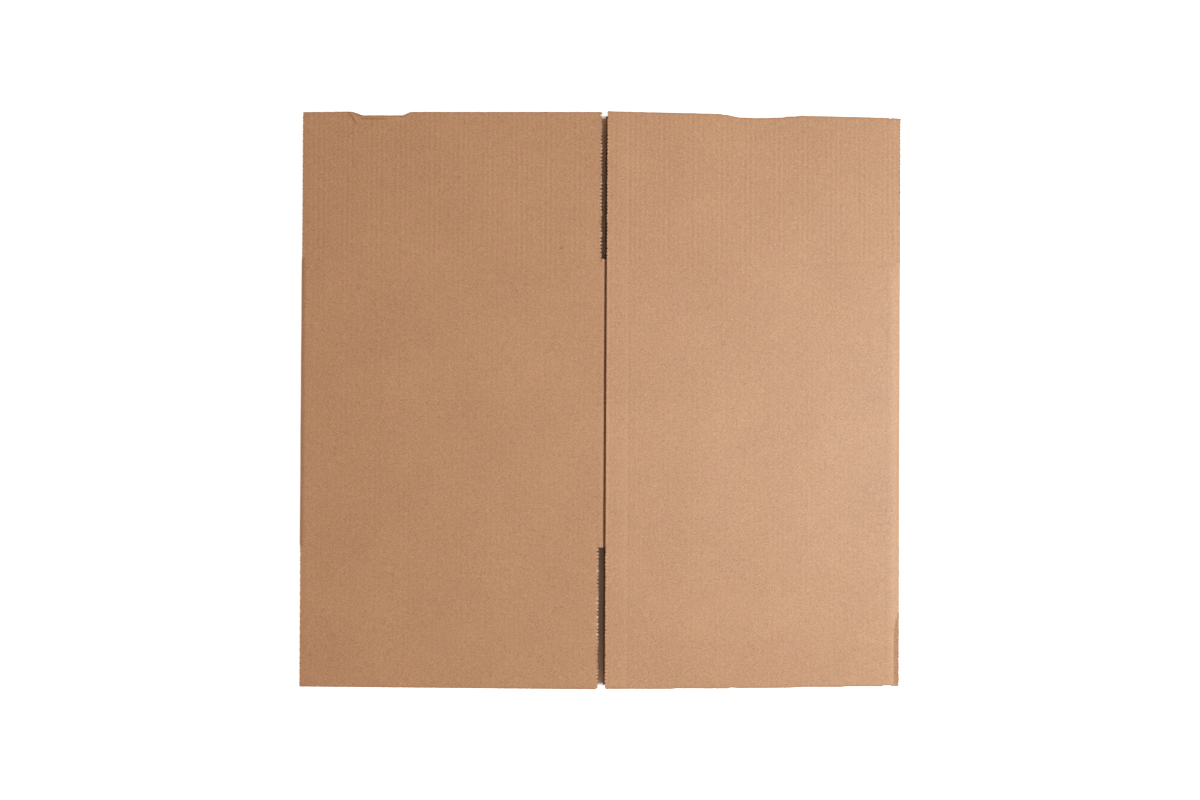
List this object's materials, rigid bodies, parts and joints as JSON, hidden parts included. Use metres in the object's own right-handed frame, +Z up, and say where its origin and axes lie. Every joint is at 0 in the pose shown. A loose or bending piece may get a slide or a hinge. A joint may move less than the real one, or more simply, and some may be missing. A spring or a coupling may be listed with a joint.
{
  "type": "flattened cardboard box",
  "caption": "Square corrugated shipping box knocked down flat, glued joint upwards, with hinged upper flaps over its lower flaps.",
  "frame": {"origin": "middle of the ground face of the folded box", "axes": "+X across the folded box, +Y along the box's height, +Z up"},
  "size_m": [0.8112, 0.771, 0.0384],
  "materials": {
    "board": "matte kraft"
  },
  "bodies": {
    "box_sheet": {"box_body": "board"},
    "top_left_flap": {"flap_top_left": "board"},
    "top_right_flap": {"flap_top_right": "board"},
    "bottom_left_flap": {"flap_bottom_left": "board"},
    "bottom_right_flap": {"flap_bottom_right": "board"}
  },
  "joints": [
    {"name": "top_left_score", "type": "hinge", "parent": "box_sheet", "child": "top_left_flap", "pos_m": [0.0024, 0.1885, 0.03445], "axis": [0.999, 0, 0.0436], "range_deg": [0, 170]},
    {"name": "top_right_score", "type": "hinge", "parent": "box_sheet", "child": "top_right_flap", "pos_m": [0.00498, 0.1885, 0.03844], "axis": [0.9985, 0, -0.0546], "range_deg": [0, 170]},
    {"name": "bottom_left_score", "type": "hinge", "parent": "box_sheet", "child": "bottom_left_flap", "pos_m": [0.0024, -0.1965, 0.03445], "axis": [-0.999, 0, -0.0436], "range_deg": [0, 170]},
    {"name": "bottom_right_score", "type": "hinge", "parent": "box_sheet", "child": "bottom_right_flap", "pos_m": [0.00498, -0.1965, 0.03844], "axis": [-0.9985, 0, 0.0546], "range_deg": [0, 170]}
  ]
}
